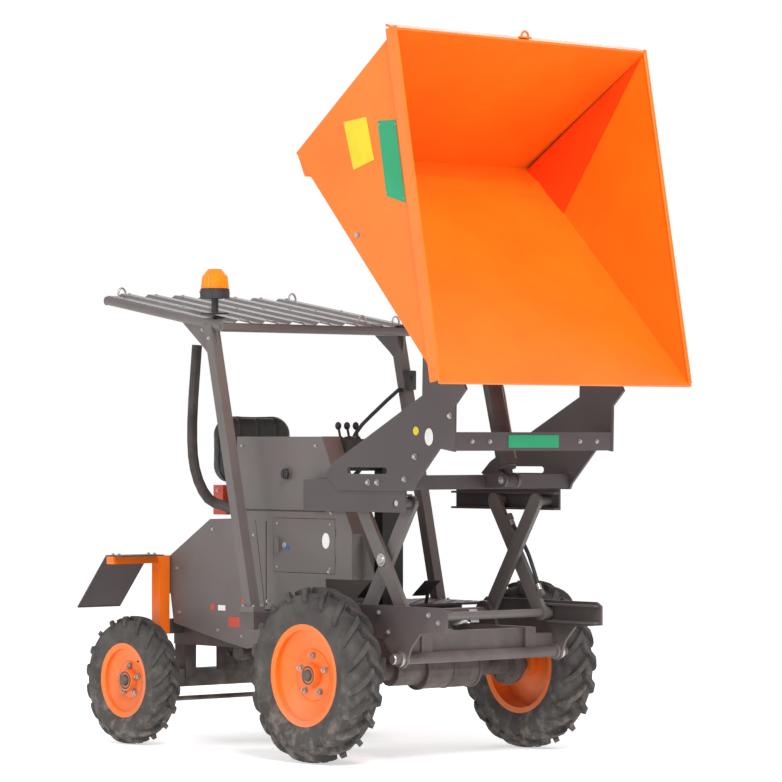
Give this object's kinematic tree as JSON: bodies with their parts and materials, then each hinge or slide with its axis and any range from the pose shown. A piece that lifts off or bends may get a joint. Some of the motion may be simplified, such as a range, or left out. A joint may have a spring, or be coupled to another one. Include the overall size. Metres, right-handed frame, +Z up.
{
  "type": "high-tip site dumper",
  "caption": "Small site dumper with an open operator's seat under a roll-over frame, a scissor lift that raises its load carrier, and a forward-tipping V-shaped skip.",
  "frame": {"origin": "on the ground below the middle of the machine's outline, with the lift raised and the skip tipped", "axes": "+X forward, towards the skip's mouth; +Y to the operator's left; +Z up"},
  "size_m": [2.5104, 1.456, 3.0838],
  "materials": {
    "warm_grey_paint": "satin warm-grey paint, scuffed",
    "dark_chassis_paint": "satin dark grey-brown paint",
    "orange_paint": "semi-gloss orange paint",
    "red_paint": "semi-gloss red paint",
    "dark_steel": "greasy dark metal",
    "black_plastic": "matt black",
    "black_hose": "matt black rubber",
    "tyre_rubber": "worn grey-black tread rubber",
    "chrome_rod": "bright chromed rod",
    "seat_vinyl": "worn black vinyl",
    "galvanised_sheet": "light grey corrugated sheet",
    "amber_lens": "clear amber"
  },
  "bodies": {
    "chassis": {"chassis_frame": "dark_chassis_paint", "front_axle": "dark_steel", "rear_axle": "dark_steel", "engine": "dark_steel", "engine_hood": "warm_grey_paint", "side_console": "warm_grey_paint", "footwell_floor": "dark_chassis_paint", "dash_column": "black_plastic", "steering_wheel": "black_plastic", "seat_base": "red_paint", "seat_cushion": "seat_vinyl", "seat_backrest": "seat_vinyl", "rops_frame": "warm_grey_paint", "roof_sheet": "galvanised_sheet", "beacon_base": "black_plastic", "beacon_dome": "amber_lens", "exhaust_pipe": "dark_steel", "grab_rail": "dark_steel", "mudguard_right": "dark_chassis_paint", "mudguard_left": "dark_chassis_paint", "mudguard_bracket_right": "orange_paint", "mudguard_bracket_left": "orange_paint"},
    "access_door": {"access_door": "warm_grey_paint"},
    "scissor_inner": {"scissor_arm_inner": "warm_grey_paint"},
    "scissor_outer": {"scissor_arm_outer": "warm_grey_paint", "lift_hose": "black_hose"},
    "carrier": {"carrier_frame": "dark_chassis_paint"},
    "skip": {"skip": "orange_paint"},
    "tip_barrel": {"tip_ram_barrel": "dark_steel"},
    "tip_rod": {"tip_ram_rod": "chrome_rod"},
    "lift_barrel": {"lift_ram_barrel": "dark_steel"},
    "lift_rod": {"lift_ram_rod": "chrome_rod"},
    "tie_rod": {"tie_rod": "dark_steel"},
    "front_wheel_right": {"rim_front_right": "orange_paint", "tyre_front_right": "tyre_rubber"},
    "knuckle_right": {"steering_knuckle_right": "dark_steel"},
    "rear_wheel_right": {"rim_rear_right": "orange_paint", "tyre_rear_right": "tyre_rubber"},
    "front_wheel_left": {"rim_front_left": "orange_paint", "tyre_front_left": "tyre_rubber"},
    "knuckle_left": {"steering_knuckle_left": "dark_steel"},
    "rear_wheel_left": {"rim_rear_left": "orange_paint", "tyre_rear_left": "tyre_rubber"}
  },
  "joints": [
    {"name": "lift", "type": "hinge", "parent": "chassis", "child": "scissor_inner", "pos_m": [0.3668, 0, 0.618], "axis": [0, 1, 0], "range_deg": [0, 48.4]},
    {"name": "scissor_crossing", "type": "hinge", "parent": "scissor_inner", "child": "scissor_outer", "pos_m": [0.51614, 0, 0.86074], "axis": [0, 1, 0], "range_deg": [-96.81, 0]},
    {"name": "carrier_level", "type": "hinge", "parent": "scissor_inner", "child": "carrier", "pos_m": [0.66547, 0, 1.10348], "axis": [0, 1, 0], "range_deg": [-48.41, 0]},
    {"name": "tip", "type": "hinge", "parent": "carrier", "child": "skip", "pos_m": [0.9208, 0, 1.86], "axis": [0, 1, 0], "range_deg": [-72, 0]},
    {"name": "tip_ram_pivot", "type": "hinge", "parent": "carrier", "child": "tip_barrel", "pos_m": [0.8808, 0, 1.2], "axis": [0, 1, 0], "range_deg": [-12.14, 0]},
    {"name": "tip_ram_stroke", "type": "slide", "parent": "tip_barrel", "child": "tip_rod", "axis": [-0.2536, 0, 0.9673], "range_m": [-0.3683, 0]},
    {"name": "lift_ram_pivot", "type": "hinge", "parent": "chassis", "child": "lift_barrel", "pos_m": [-0.0152, 0, 0.44], "axis": [0, 1, 0], "range_deg": [0, 3.97]},
    {"name": "lift_ram_stroke", "type": "slide", "parent": "lift_barrel", "child": "lift_rod", "axis": [0.9675, 0, 0.253], "range_m": [0, 0.2567]},
    {"name": "steering_right", "type": "hinge", "parent": "chassis", "child": "knuckle_right", "pos_m": [-0.9672, -0.44, 0.288], "axis": [0, 0, 1], "range_deg": [-22, 22]},
    {"name": "steering_left", "type": "hinge", "parent": "chassis", "child": "knuckle_left", "pos_m": [-0.9672, 0.44, 0.288], "axis": [0, 0, 1], "range_deg": [-22.01, 22.01]},
    {"name": "tie_rod_slide", "type": "slide", "parent": "chassis", "child": "tie_rod", "axis": [0, 1, 0], "range_m": [-0.0488, 0.0488]},
    {"name": "access_door_hinge", "type": "hinge", "parent": "chassis", "child": "access_door", "pos_m": [0.2108, -0.4025, 0.9], "axis": [0, 0, 1], "range_deg": [0, 100]},
    {"name": "front_wheel_spin_right", "type": "hinge", "parent": "chassis", "child": "front_wheel_right", "pos_m": [0.3448, -0.62, 0.373], "axis": [0, 1, 0], "continuous": true},
    {"name": "rear_wheel_spin_right", "type": "hinge", "parent": "knuckle_right", "child": "rear_wheel_right", "pos_m": [-0.9672, -0.6, 0.288], "axis": [0, 1, 0], "continuous": true},
    {"name": "front_wheel_spin_left", "type": "hinge", "parent": "chassis", "child": "front_wheel_left", "pos_m": [0.3448, 0.62, 0.373], "axis": [0, 1, 0], "continuous": true},
    {"name": "rear_wheel_spin_left", "type": "hinge", "parent": "knuckle_left", "child": "rear_wheel_left", "pos_m": [-0.9672, 0.6, 0.288], "axis": [0, 1, 0], "continuous": true}
  ],
  "couplings": [
    {"joint": "scissor_crossing", "follows": "lift", "ratio": -2},
    {"joint": "carrier_level", "follows": "lift", "ratio": -1},
    {"joint": "lift_ram_pivot", "follows": "lift", "ratio": 0.082014},
    {"joint": "lift_ram_stroke", "follows": "lift", "m_per_rad": 0.30356},
    {"joint": "tip_ram_pivot", "follows": "tip", "ratio": 0.16844},
    {"joint": "tip_ram_stroke", "follows": "tip", "m_per_rad": 0.29282},
    {"joint": "steering_left", "follows": "steering_right", "ratio": 1},
    {"joint": "tie_rod_slide", "follows": "steering_right", "m_per_rad": -0.12683}
  ]
}
